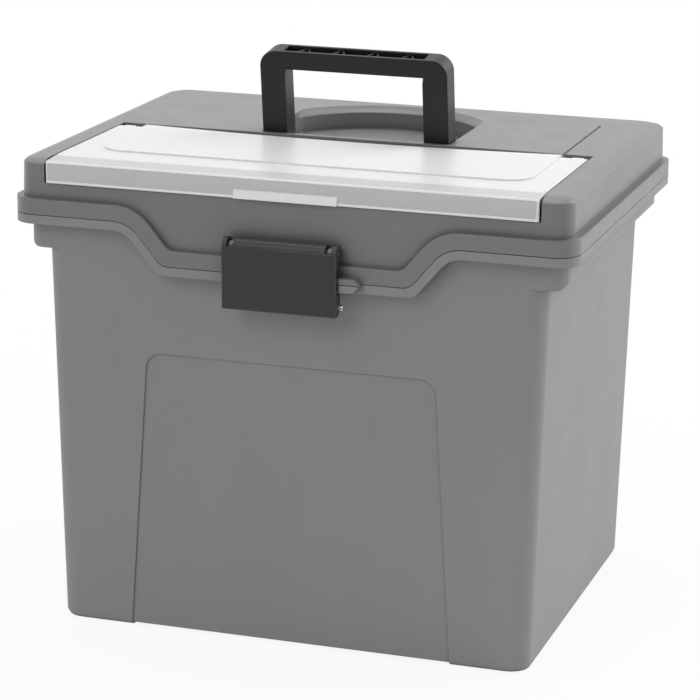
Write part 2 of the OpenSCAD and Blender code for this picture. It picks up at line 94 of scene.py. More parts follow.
class Graph:
    """Short hand for building a node tree."""

    def __init__(self, tree: NodeTree) -> None:
        """Starts on an emptied tree.

        Args:
            tree: The material's, world's or group's node tree.
        """
        self.tree = tree
        tree.nodes.clear()

    def add(self, kind: str, **settings: Any) -> Node:
        """Adds a node.

        Args:
            kind: Blender's class name of the node.
            settings: Properties to set on it.

        Returns:
            The new node.
        """
        node = self.tree.nodes.new(kind)
        for name, value in settings.items():
            setattr(node, name, value)
        return node

    def feed(self, socket: NodeSocket, value: Any) -> None:
        """Links a socket to an input, or sets the input to a number or colour.

        Args:
            socket: The input to feed.
            value: A socket, number or colour, or None to leave the input alone.
        """
        if isinstance(value, NodeSocket):
            self.tree.links.new(value, socket)
        elif value is not None:
            socket.default_value = value

    def math(self, operation: str, *values: Any, clamp: bool = False) -> NodeSocket:
        """Adds a Math node.

        Args:
            operation: Blender's name of the operation.
            values: Sockets or numbers for its inputs.
            clamp: Whether the result stays from 0 to 1.

        Returns:
            The result's socket.
        """
        node = self.add("ShaderNodeMath", operation=operation, use_clamp=clamp)
        for socket, value in zip(node.inputs, values):
            self.feed(socket, value)
        return node.outputs[0]

    def noise(self, vector: NodeSocket, scale: Any, detail: float, roughness: float = 0.5) -> NodeSocket:
        """Adds a noise texture.

        Args:
            vector: The place to read it at.
            scale: Grains per metre.
            detail: Number of finer layers.
            roughness: Strength of the finer layers.

        Returns:
            The value's socket.
        """
        node = self.add("ShaderNodeTexNoise")
        self.feed(node.inputs["Vector"], vector)
        self.feed(node.inputs["Scale"], scale)
        node.inputs["Detail"].default_value = detail
        node.inputs["Roughness"].default_value = roughness
        return node.outputs[0]

    def remap(self, value: NodeSocket, low: Any, high: Any, to_low: Any = 0.0,
              to_high: Any = 1.0) -> NodeSocket:
        """Adds a clamped Map Range node.

        Args:
            value: The number to map.
            low: Value that gives the first result.
            high: Value that gives the second result.
            to_low: The first result.
            to_high: The second result.

        Returns:
            The result's socket.
        """
        node = self.add("ShaderNodeMapRange", clamp=True)
        for name, item in zip(("Value", "From Min", "From Max", "To Min", "To Max"),
                              (value, low, high, to_low, to_high)):
            self.feed(node.inputs[name], item)
        return node.outputs[0]

    def blend(self, factor: Any, first: Any, second: Any, mode: str = "MIX") -> NodeSocket:
        """Adds a colour Mix node.

        Args:
            factor: Share of the second colour.
            first: The first colour.
            second: The second colour.
            mode: Blender's name of the blend.

        Returns:
            The result's socket.
        """
        node = self.add("ShaderNodeMix", data_type="RGBA", blend_type=mode)
        self.feed(node.inputs[0], factor)
        self.feed(node.inputs[6], first)
        self.feed(node.inputs[7], second)
        return node.outputs[2]


def effect(name: str, inputs: dict[str, tuple[str, Any]], outputs: dict[str, str],
           fill: Callable[[Graph, Node, Node], None]) -> NodeTree:
    """Makes a shader node group once.

    Args:
        name: The group's name.
        inputs: Name to (socket type, default) of each input.
        outputs: Name to socket type of each output.
        fill: Draws the group's inside between its two end nodes.

    Returns:
        The group's tree.
    """
    known = bpy.data.node_groups.get(name)
    if known:
        return known
    tree = bpy.data.node_groups.new(name, "ShaderNodeTree")
    for key, (kind, default) in inputs.items():
        socket = tree.interface.new_socket(key, in_out="INPUT", socket_type=kind)
        socket.default_value = default
    for key, kind in outputs.items():
        tree.interface.new_socket(key, in_out="OUTPUT", socket_type=kind)
    graph = Graph(tree)
    fill(graph, graph.add("NodeGroupInput"), graph.add("NodeGroupOutput"))
    return tree


FLOAT = "NodeSocketFloat"
VECTOR = "NodeSocketVector"


# Scales per metre and shares of the grain, the cloud, the streaks and the gloss.
COARSE_SCALE = 0.31
FINE_SHARE, COARSE_SHARE = 0.7, 0.3
CLOUD_PER_M = 11.0
STREAK_PER_M = (60.0, 60.0, 3.0)
CLOUD_SHARE, STREAK_SHARE = 0.65, 0.35
SPECK = 0.15
GLOSS_PER_M = 38.0
GLOSS_SWING = 0.16


def mould_grain() -> NodeTree:
    """Fine spark-eroded grain of a moulded plastic wall.

    Returns:
        The group's tree.
    """

    def fill(g: Graph, start: Node, end: Node) -> None:
        """Fine and coarse noise give height, gloss and shade.

        Args:
            g: The group's graph.
            start: The group's input node.
            end: The group's output node.
        """
        place = g.add("ShaderNodeTexCoord").outputs["Object"]
        fine = g.noise(place, start.outputs["Grain per m"], 2.0, 0.6)
        coarse = g.noise(place, g.math("MULTIPLY", start.outputs["Grain per m"], COARSE_SCALE), 1.0)
        height = g.math("ADD", g.math("MULTIPLY", fine, FINE_SHARE),
                        g.math("MULTIPLY", coarse, COARSE_SHARE))
        cloud = g.noise(place, CLOUD_PER_M, 2.0)
        streak_place = g.add("ShaderNodeMapping")
        streak_place.inputs["Scale"].default_value = STREAK_PER_M
        g.feed(streak_place.inputs["Vector"], place)
        streak = g.noise(streak_place.outputs[0], 1.0, 2.0)
        drift = g.math("ADD", g.math("MULTIPLY", cloud, CLOUD_SHARE),
                       g.math("MULTIPLY", streak, STREAK_SHARE))
        centred = g.math("SUBTRACT", drift, 0.5)
        speck = g.math("MULTIPLY", g.math("SUBTRACT", fine, 0.5), SPECK)
        shade = g.math("ADD", 1.0, g.math("MULTIPLY", g.math("ADD", centred, speck),
                                            start.outputs["Variation"]))
        swing = g.math("SUBTRACT", g.noise(place, GLOSS_PER_M, 3.0), 0.5)
        gloss = g.math("ADD", start.outputs["Roughness"], g.math("MULTIPLY", swing, GLOSS_SWING),
                       clamp=True)
        g.feed(end.inputs["Height"], height)
        g.feed(end.inputs["Shade"], shade)
        g.feed(end.inputs["Gloss"], gloss)

    return effect("mould_grain",
                  {"Grain per m": (FLOAT, 900.0), "Roughness": (FLOAT, 0.5), "Variation": (FLOAT, 0.1)},
                  {"Height": FLOAT, "Shade": FLOAT, "Gloss": FLOAT}, fill)


# How far the rounded normal leaves the true one, and where the rubbing lies.
EDGE_DOT = (0.995, 0.86)
RUB_PER_M = 55.0
RUB_PATCH = (0.38, 0.66)


def rubbed_edges() -> NodeTree:
    """Mask of edges that hands and shelves have rubbed.

    Returns:
        The group's tree.
    """

    def fill(g: Graph, start: Node, end: Node) -> None:
        """Where the rounded normal leaves the true one, there is an edge.

        Args:
            g: The group's graph.
            start: The group's input node.
            end: The group's output node.
        """
        soft = g.add("ShaderNodeBevel", samples=6)
        g.feed(soft.inputs["Radius"], start.outputs["Radius"])
        true = g.add("ShaderNodeNewGeometry")
        dot = g.add("ShaderNodeVectorMath", operation="DOT_PRODUCT")
        g.feed(dot.inputs[0], soft.outputs[0])
        g.feed(dot.inputs[1], true.outputs["Normal"])
        edge = g.remap(dot.outputs["Value"], *EDGE_DOT)
        place = g.add("ShaderNodeTexCoord").outputs["Object"]
        patch = g.remap(g.noise(place, RUB_PER_M, 4.0, 0.6), *RUB_PATCH)
        g.feed(end.inputs["Mask"], g.math("MULTIPLY", g.math("MULTIPLY", edge, patch),
                                          start.outputs["Amount"], clamp=True))
        g.feed(end.inputs["Soft normal"], soft.outputs[0])

    return effect("rubbed_edges", {"Radius": (FLOAT, 0.0012), "Amount": (FLOAT, 0.3)},
                  {"Mask": FLOAT, "Soft normal": VECTOR}, fill)


# Open share of the surroundings at which the painted crevice shade starts and is full.
OPEN_SHARE = (0.8, 0.3)


def painted_crevice_shade() -> NodeTree:
    """Mask of painted shade in narrow gaps and inner corners, where the plastic's colour is darkened.

    Returns:
        The group's tree.
    """

    def fill(g: Graph, start: Node, end: Node) -> None:
        """The hidden share of the surroundings within reach, which sets the painted shade.

        Args:
            g: The group's graph.
            start: The group's input node.
            end: The group's output node.
        """
        hidden = g.add("ShaderNodeAmbientOcclusion", samples=8)
        g.feed(hidden.inputs["Distance"], start.outputs["Reach"])
        deep = g.remap(hidden.outputs["AO"], *OPEN_SHARE)
        g.feed(end.inputs["Mask"], g.math("MULTIPLY", deep, start.outputs["Amount"], clamp=True))

    return effect("painted_crevice_shade", {"Reach": (FLOAT, 0.005), "Amount": (FLOAT, 0.7)},
                  {"Mask": FLOAT}, fill)


# Upward share of the normal, and where the dust lies.
UPWARD = (0.5, 1.0)
DUST_PER_M = 26.0
DUST_PATCH = (0.42, 0.8)


def settled_dust() -> NodeTree:
    """Mask of thin dust on faces that look up.

    Returns:
        The group's tree.
    """

    def fill(g: Graph, start: Node, end: Node) -> None:
        """The upward share of the normal times a cloudy noise.

        Args:
            g: The group's graph.
            start: The group's input node.
            end: The group's output node.
        """
        split = g.add("ShaderNodeSeparateXYZ")
        g.feed(split.inputs[0], g.add("ShaderNodeNewGeometry").outputs["Normal"])
        up = g.remap(split.outputs["Z"], *UPWARD)
        place = g.add("ShaderNodeTexCoord").outputs["Object"]
        cloud = g.remap(g.noise(place, DUST_PER_M, 5.0, 0.62), *DUST_PATCH)
        g.feed(end.inputs["Mask"], g.math("MULTIPLY", g.math("MULTIPLY", up, cloud),
                                          start.outputs["Amount"], clamp=True))

    return effect("settled_dust", {"Amount": (FLOAT, 0.1)}, {"Mask": FLOAT}, fill)


def place_effect(g: Graph, tree: NodeTree, **values: Any) -> Node:
    """Places a node group in a material.

    Args:
        g: The material's graph.
        tree: The group.
        values: Its inputs, with underscores for blanks.

    Returns:
        The group node.
    """
    node = g.add("ShaderNodeGroup", node_tree=tree)
    for name, value in values.items():
        g.feed(node.inputs[name.replace("_", " ")], value)
    return node


# ------------------------------------------------------------------- finishes


def new_material(name: str) -> tuple[Material, Graph, Node]:
    """Makes a material with a Principled shader on its output.

    Args:
        name: The material's name.

    Returns:
        The material, its graph and the shader node.
    """
    material = bpy.data.materials.new(name)
    material.use_nodes = True
    graph = Graph(material.node_tree)
    shader = graph.add("ShaderNodeBsdfPrincipled")
    output = graph.add("ShaderNodeOutputMaterial")
    graph.feed(output.inputs["Surface"], shader.outputs[0])
    return material, graph, shader


@dataclass(frozen=True)
class MouldedPlastic:
    """Satin plastic with a fine grain, slight drift of tone, rubbed edges and painted shade in its
    crevices.
    """

    name: str
    color: Color
    rubbed: Color
    roughness: float = 0.46
    specular: float = 0.5
    grain_per_m: float = 1100.0
    grain_depth: float = 0.00006
    variation: float = 0.1
    edge: float = 0.35
    edge_radius: float = 0.0011
    # Painted shade in gaps and inner corners: its strength, its reach and its darkest share of the
    # colour.
    crevice: float = 0.75
    reach: float = 0.005
    dust: float = 0.06
    dust_color: Color = (0.62, 0.61, 0.58)
    dust_matt: float = 0.4
    crevice_shade_tone: float = 0.12
    bump: float = 0.5

    def material(self) -> Material:
        """Builds the material.

        Returns:
            The finished material.
        """
        material, g, shader = new_material(self.name)
        grain = place_effect(g, mould_grain(), Grain_per_m=self.grain_per_m,
                             Roughness=self.roughness, Variation=self.variation)
        wear = place_effect(g, rubbed_edges(), Radius=self.edge_radius, Amount=self.edge)
        deep = place_effect(g, painted_crevice_shade(), Reach=self.reach, Amount=self.crevice)
        dust = place_effect(g, settled_dust(), Amount=self.dust)
        shaded = g.blend(1.0, (*self.color, 1.0), grain.outputs["Shade"], mode="MULTIPLY")
        worn = g.blend(wear.outputs["Mask"], shaded, (*self.rubbed, 1.0))
        dusty = g.blend(dust.outputs["Mask"], worn, (*self.dust_color, 1.0))
        # Painted shade: the colour darkens towards a dark share of itself in crevices and gaps.
        g.feed(shader.inputs["Base Color"],
               g.blend(deep.outputs["Mask"], dusty, (*(c * self.crevice_shade_tone for c in self.color), 1.0)))
        matt = g.math("MULTIPLY", dust.outputs["Mask"], self.dust_matt)
        g.feed(shader.inputs["Roughness"], g.math("ADD", grain.outputs["Gloss"], matt, clamp=True))
        shader.inputs["Specular IOR Level"].default_value = self.specular
        bump = g.add("ShaderNodeBump")
        bump.inputs["Strength"].default_value = self.bump
        bump.inputs["Distance"].default_value = self.grain_depth
        g.feed(bump.inputs["Height"], grain.outputs["Height"])
        g.feed(bump.inputs["Normal"], wear.outputs["Soft normal"])
        g.feed(shader.inputs["Normal"], bump.outputs[0])
        return material


@dataclass(frozen=True)
class MilkyPlastic:
    """Milky plastic that lets a little light through, with painted highlight lines along its rims and
    painted shade in front.

    Its roughness, haze included, stays above 0.28, because lower values that vary
    drew patches in the render.
    """

    name: str
    color: Color
    transmission: float = 0.15
    roughness: float = 0.28
    bend_y: tuple[float, float] = (-0.1115, -0.1145)
    lip: tuple[float, float] = (0.2786, 0.2914)
    end_x: float = 0.1522
    # Strengths of the painted shade on the bend and the lip and of the painted highlight lines, then the
    # lines' widths.
    bend_shade: float = 0.26
    lip_shade: float = 0.06
    highlight_white: float = 0.95
    top_highlight: float = 0.0007
    low_highlight: float = 0.0011
    end_highlight: float = 0.0008
    fade: float = 0.0003
    # Where the front starts, and the corner of the painted highlight on the thumb tab.
    lip_y: tuple[float, float] = (-0.1272, -0.1278)
    tab_y: tuple[float, float] = (-0.1288, -0.1291)
    tab_x: tuple[float, float] = (0.0323, 0.032)
    tab_z: tuple[float, float] = (0.2843, 0.284)
    cloud_per_m: float = 14.0
    cloud_low: float = 0.96
    haze_per_m: float = 30.0
    haze: float = 0.12
    wave_per_m: float = 60.0
    wave: float = 0.2
    wave_depth: float = 0.00005
    ior: float = 1.49

    def line(self, g: Graph, value: NodeSocket, middle: float, half: float) -> NodeSocket:
        """Mask that is 1 within half a width of a value and then fades."""
        away = g.math("ABSOLUTE", g.math("SUBTRACT", value, middle))
        return g.remap(away, half + self.fade, half)

    def tint(self, g: Graph, place: NodeSocket) -> NodeSocket:
        """Body colour with painted shade on the bend and down the lip, and painted highlight lines along
        the rims and the thumb tab.

        Args:
            g: The material's graph.
            place: Object coordinates.

        Returns:
            The colour's socket.
        """
        split = g.add("ShaderNodeSeparateXYZ")
        g.feed(split.inputs[0], place)
        x, y, z = split.outputs
        # Painted shade: greyer across the bend, and down the lip towards its bottom edge.
        bend = g.remap(y, *self.bend_y)
        front = g.remap(y, *self.lip_y)
        low = g.math("MULTIPLY", front, g.remap(z, self.lip[1], self.lip[0]))
        grey = g.math("ADD", g.math("MULTIPLY", bend, self.bend_shade),
                      g.math("MULTIPLY", low, self.lip_shade))
        wide = g.math("ABSOLUTE", x)
        # Painted highlights: white lines along the lip's top and bottom edges and the flap's ends, kept
        # to the front, and on the thumb tab.
        rims = self.line(g, z, self.lip[1] + 0.0001, self.top_highlight)
        rims = g.math("MAXIMUM", rims, self.line(g, z, self.lip[0] + 0.0004, self.low_highlight))
        rims = g.math("MAXIMUM", rims, self.line(g, wide, self.end_x - 0.0004, self.end_highlight))
        tab = g.math("MULTIPLY", g.remap(y, *self.tab_y), g.remap(wide, *self.tab_x))
        tab = g.math("MULTIPLY", tab, g.remap(z, *self.tab_z))
        rims = g.math("MAXIMUM", g.math("MULTIPLY", rims, front), tab)
        rims = g.math("MULTIPLY", rims, self.highlight_white)
        cloud = g.remap(g.noise(place, self.cloud_per_m, 3.0), 0.3, 0.7, self.cloud_low, 1.0)
        shade = g.math("MULTIPLY", cloud, g.math("SUBTRACT", 1.0, grey))
        body = g.blend(1.0, (*self.color, 1.0), shade, mode="MULTIPLY")
        return g.blend(rims, body, (1.0, 1.0, 1.0, 1.0))

    def material(self) -> Material:
        """Builds the material.

        Returns:
            The finished material.
        """
        material, g, shader = new_material(self.name)
        place = g.add("ShaderNodeTexCoord").outputs["Object"]
        g.feed(shader.inputs["Base Color"], self.tint(g, place))
        haze = g.math("MULTIPLY", g.noise(place, self.haze_per_m, 4.0), self.haze)
        g.feed(shader.inputs["Roughness"], g.math("ADD", self.roughness, haze, clamp=True))
        shader.inputs["Transmission Weight"].default_value = self.transmission
        shader.inputs["IOR"].default_value = self.ior
        bump = g.add("ShaderNodeBump")
        bump.inputs["Strength"].default_value = self.wave
        bump.inputs["Distance"].default_value = self.wave_depth
        g.feed(bump.inputs["Height"], g.noise(place, self.wave_per_m, 1.0))
        g.feed(shader.inputs["Normal"], bump.outputs[0])
        return material


@dataclass(frozen=True)
class DrawnSteel:
    """Bright drawn wire with marks along its length."""

    name: str
    color: Color = (0.8, 0.81, 0.83)
    mark_per_m: Point = (30.0, 2600.0, 2600.0)
    tone: tuple[float, float] = (0.86, 1.04)
    roughness: tuple[float, float] = (0.3, 0.44)

    def material(self) -> Material:
        """Builds the material.

        Returns:
            The finished material.
        """
        material, g, shader = new_material(self.name)
        place = g.add("ShaderNodeTexCoord").outputs["Object"]
        stretch = g.add("ShaderNodeMapping")
        stretch.inputs["Scale"].default_value = self.mark_per_m
        g.feed(stretch.inputs["Vector"], place)
        line = g.noise(stretch.outputs[0], 1.0, 2.0)
        tone = g.remap(line, 0.3, 0.7, *self.tone)
        g.feed(shader.inputs["Base Color"], g.blend(1.0, (*self.color, 1.0), tone, mode="MULTIPLY"))
        g.feed(shader.inputs["Roughness"], g.remap(line, 0.25, 0.75, *self.roughness))
        shader.inputs["Metallic"].default_value = 1.0
        return material


# ----------------------------------------------------------------- mesh tools


def box(bm: BMesh, low: Point, high: Point) -> list[BMVert]:
    """Adds a box between two corners.

    Args:
        bm: The mesh to add to.
        low: Lowest corner.
        high: Highest corner.

    Returns:
        The box's vertices.
    """
    size = Vector(high) - Vector(low)
    centre = (Vector(high) + Vector(low)) / 2
    matrix = Matrix.Translation(centre) @ Matrix.Diagonal((*size, 1.0))
    return bmesh.ops.create_cube(bm, size=1.0, matrix=matrix)["verts"]


def rod(bm: BMesh, start: Point, end: Point, radius: float, segments: int = 32) -> list[BMVert]:
    """Adds a closed cylinder between two points.

    Args:
        bm: The mesh to add to.
        start: Middle of one end.
        end: Middle of the other end.
        radius: The cylinder's radius.
        segments: Number of its sides.

    Returns:
        The cylinder's vertices.
    """
    a, b = Vector(start), Vector(end)
    turn = (b - a).to_track_quat("Z", "Y").to_matrix().to_4x4()
    matrix = Matrix.Translation((a + b) / 2) @ turn
    return bmesh.ops.create_cone(bm, cap_ends=True, segments=segments, radius1=radius,
                                 radius2=radius, depth=(b - a).length, matrix=matrix)["verts"]


def cut(bm: BMesh, point: Point, axis: Axis) -> None:
    """Cuts a line of edges across the whole mesh without removing anything."""
    bmesh.ops.bisect_plane(bm, geom=bm.verts[:] + bm.edges[:] + bm.faces[:], dist=1e-5,
                           plane_co=Vector(point), plane_no=axis.vector)


def faces_at(bm: BMesh, test: Callable[[Vector, Vector], bool]) -> list[BMFace]:
    """Faces whose centre and normal pass a test."""
    bm.normal_update()
    return [f for f in bm.faces if test(f.calc_center_median(), f.normal)]


def edges_at(bm: BMesh, axis: Axis, test: Callable[[Vector], bool]) -> list[BMEdge]:
    """Edges along an axis whose middle passes a test.

    Args:
        bm: The mesh to look in.
        axis: The direction of the edges.
        test: Takes an edge's middle.

    Returns:
        The edges found.
    """
    found = []
    for edge in bm.edges:
        a, b = edge.verts[0].co, edge.verts[1].co
        span = b - a
        if span.length > 1e-6 and abs(span.normalized().dot(axis.vector)) > 0.999 and test((a + b) / 2):
            found.append(edge)
    return found


def round_edges(bm: BMesh, edges: Sequence[BMEdge], radius: float, segments: int) -> None:
    """Rounds edges with a bevel of that radius."""
    bmesh.ops.bevel(bm, geom=list(edges), offset=radius, offset_type="OFFSET", affect="EDGES",
                    segments=segments, profile=0.5, material=-1, clamp_overlap=True)


def push(bm: BMesh, faces: Sequence[BMFace], shift: Point) -> list[BMVert]:
    """Extrudes faces and moves the new ones.

    Args:
        bm: The mesh.
        faces: Faces to extrude.
        shift: How far the new faces move.

    Returns:
        The new vertices.
    """
    made = bmesh.ops.extrude_face_region(bm, geom=list(faces))["geom"]
    verts = [g for g in made if isinstance(g, BMVert)]
    bmesh.ops.delete(bm, geom=[f for f in faces if f.is_valid], context="FACES_KEEP_BOUNDARY")
    bmesh.ops.translate(bm, verts=verts, vec=Vector(shift))
    return verts


class Edge(Enum):
    """How softly the edges of a piece are finished, in metres."""

    FINE = 0.0004
    SOFT = 0.0007


@dataclass
class Piece:
    """A finished piece of the visual model."""

    name: str
    body: str
    slot: str
    material: Material
    stands_for: tuple[str, ...] = ()
    edge: Edge = Edge.FINE
    segments: int = 2
    smooth_angle: float = 40.0

    def finish(self, bm: BMesh, scale: float = MM) -> Object:
        """Turns a mesh into an object that rides on its body.

        Args:
            bm: The mesh, freed afterwards.
            scale: From the mesh's units to metres.

        Returns:
            The object.
        """
        bmesh.ops.scale(bm, vec=Vector((scale,) * 3), verts=bm.verts)
        bm.normal_update()
        mesh = bpy.data.meshes.new(self.name)
        bm.to_mesh(mesh)
        bm.free()
        for polygon in mesh.polygons:
            polygon.use_smooth = True
        mesh.set_sharp_from_angle(angle=math.radians(self.smooth_angle))
        mesh.materials.append(self.material)
        piece = bpy.data.objects.new(self.name, mesh)
        bpy.context.scene.collection.objects.link(piece)
        bevel = piece.modifiers.new("soft_edges", "BEVEL")
        bevel.width = self.edge.value
        bevel.segments = self.segments
        bevel.limit_method = "ANGLE"
        bevel.angle_limit = math.radians(self.smooth_angle)
        bevel.harden_normals = True
        bevel.use_clamp_overlap = True
        flat = piece.modifiers.new("flat_faces", "WEIGHTED_NORMAL")
        flat.keep_sharp = True
        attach(piece, self.body)
        if self.stands_for:
            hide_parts(*self.stands_for)
        LOG.info("%s rides on %s", self.name, self.body)
        return piece


def merged_copy(node: Object) -> BMesh:
    """Copies a CAD node's loose triangles into one welded mesh of flat faces.

    Args:
        node: The CAD node's object.

    Returns:
        The welded mesh, in metres.
    """
    bm = bmesh.new()
    bm.from_mesh(node.data)
    bmesh.ops.remove_doubles(bm, verts=bm.verts, dist=2e-6)
    bmesh.ops.dissolve_limit(bm, angle_limit=math.radians(0.4), use_dissolve_boundaries=False,
                             verts=bm.verts, edges=bm.edges)
    return bm


# --------------------------------------------------------------- the file box


@dataclass
class Finishes:
    """Every material of the box, built once."""

    tub: Material
    lid: Material
    flap: Material
    handle: Material
    latch: Material
    steel: Material

    @classmethod
    def build(cls) -> "Finishes":
        """Builds the six materials.

        Returns:
            The materials.
        """
        return cls(
            tub=MouldedPlastic("tub_grey", (0.262, 0.255, 0.257), (0.34, 0.335, 0.335),
                               roughness=0.5).material(),
            # The lid's wider reach spreads its painted crevice shade further, into the handle well and
            # under the ledges.
            lid=MouldedPlastic("lid_grey", (0.21, 0.206, 0.208), (0.33, 0.325, 0.325), roughness=0.36,
                               grain_depth=0.00002, dust=0.03, reach=0.01).material(),
            flap=MilkyPlastic("milky_flap", (0.93, 0.93, 0.935)).material(),
            handle=MouldedPlastic("handle_black", (0.015, 0.015, 0.016), (0.06, 0.06, 0.06),
                                  roughness=0.4, specular=0.35, variation=0.2, dust=0.02).material(),
            latch=MouldedPlastic("latch_charcoal", (0.052, 0.051, 0.052), (0.22, 0.22, 0.22),
                                 roughness=0.38, specular=0.35, variation=0.2, dust=0.02,
                                 edge=0.6).material(),
            steel=DrawnSteel("pin_steel").material(),
        )


@dataclass(kw_only=True)
class Shell:
    """A moulded part that keeps its CAD form and gets softened edges."""

    node: str
    body: str
    slot: str
    material: Material
    edge: Edge = Edge.FINE

    def shape(self, bm: BMesh) -> None:
        """Adds the part's own finer forms to its welded mesh, in metres."""

    def build(self, frame: dict[str, Any]) -> Object:
        """Builds the welded copy that stands for the CAD node.

        Args:
            frame: The loaded frame.

        Returns:
            The new object.
        """
        bm = merged_copy(frame["nodes"][self.node])
        self.shape(bm)
        piece = Piece(f"{self.node}_form", self.body, self.slot, self.material,
                      stands_for=(self.node,), edge=self.edge)
        return piece.finish(bm, scale=1.0)


@dataclass(kw_only=True)
class OrganizerFlap(Shell):
    """Milky flap over the supplies tray, with a soft lip and a slight sag."""

    node: str = "organizer_cover"
    body: str = "organizer_cover"
    slot: str = "clear_plastic"
    edge: Edge = Edge.SOFT
    lip_y: float = -0.129
    lip_top: float = 0.2914
    lip_round: float = 0.0018
    lip_low: float = 0.2786
    front_y: float = -0.112
    back_y: float = -0.0087
    top: float = 0.2924
    half: float = 0.1522
    raised_half: float = 0.1355
    sag: float = 0.0017
    sag_step: float = 0.0235
    sag_rows: tuple[float, ...] = (-0.095, -0.078, -0.061, -0.044, -0.027, -0.0155)
    bead: float = 0.0009
    tab_half: float = 0.032
    tab_y: float = -0.1306
    tab_top: float = 0.2838
    tab_top_out: float = 0.0006
    tab_bead: float = 0.0008
    tab_sunk: float = 0.0006
    shoulder: float = 0.006
    sunk: float = 0.0004

    def add_beads(self, bm: BMesh) -> None:
        """Runs thin rounded rims along the flap's ends, its lip and the thumb tab.

        Args:
            bm: The welded mesh, in metres.
        """
        side = self.half - self.bead
        path = [(self.back_y - self.shoulder, self.top - self.sunk),
                (self.front_y, self.top - self.sunk),
                (self.lip_y + self.sunk, self.lip_top - self.sunk),
                (self.lip_y + self.sunk, self.lip_low + self.bead)]
        for hand in (-1, 1):
            rod(bm, (hand * side, *path[0]), (hand * side, *path[1]), self.bead, 12)
        reach = self.half - self.lip_round - self.bead
        for place in path[2:]:
            rod(bm, (-reach, *place), (reach, *place), self.bead, 12)
        low = (self.tab_y + self.tab_sunk, self.lip_low + self.tab_bead)
        rod(bm, (-self.tab_half, *low), (self.tab_half, *low), self.tab_bead, 12)

    def shape(self, bm: BMesh) -> None:
        """Leans the thumb tab, rounds the lip's edges and lets the rear edge sag.

        Args:
            bm: The welded mesh, in metres.
        """
        for vert in bm.verts:
            if vert.co.y < self.lip_y - 1e-3 and abs(vert.co.z - self.tab_top) < 1e-4:
                vert.co.y = self.lip_y - self.tab_top_out
        lip = edges_at(bm, Axis.X, lambda c: abs(c.y - self.lip_y) < 1e-4
                       and abs(c.z - self.lip_top) < 1e-4)
        ends = edges_at(bm, Axis.Z, lambda c: abs(abs(c.x) - self.half) < 1e-4
                        and abs(c.y - self.lip_y) < 1e-4)
        round_edges(bm, lip + ends, self.lip_round, 4)
        for k in range(-5, 6):
            cut(bm, (k * self.sag_step, 0.0, 0.0), Axis.X)
        for y in self.sag_rows:
            cut(bm, (0.0, y, 0.0), Axis.Y)
        self.add_beads(bm)
        reach = self.back_y - self.front_y
        for vert in bm.verts:
            across = max(0.0, 1.0 - (vert.co.x / self.raised_half) ** 2)
            along = min(max((vert.co.y - self.front_y) / reach, 0.0), 1.0)
            vert.co.z -= self.sag * across * along ** 1.5


@dataclass(kw_only=True)
class Latch(Shell):
    """Flip latch, whose plate has rounded upright and top edges."""

    node: str = "latch"
    body: str = "latch"
    slot: str = "latch_plastic"
    half: float = 0.0353
    plate_y: float = -0.1405
    top: float = 0.252
    radius: float = 0.0011

    def shape(self, bm: BMesh) -> None:
        """Rounds the plate's front edges.

        Args:
            bm: The welded mesh, in metres.
        """
        upright = edges_at(bm, Axis.Z, lambda c: abs(abs(c.x) - self.half) < 1e-4
                           and c.y < self.plate_y + 1e-4)
        level = edges_at(bm, Axis.X, lambda c: c.y < self.plate_y + 1e-4 and c.z > self.top - 1e-3)
        round_edges(bm, upright + level, self.radius, 4)


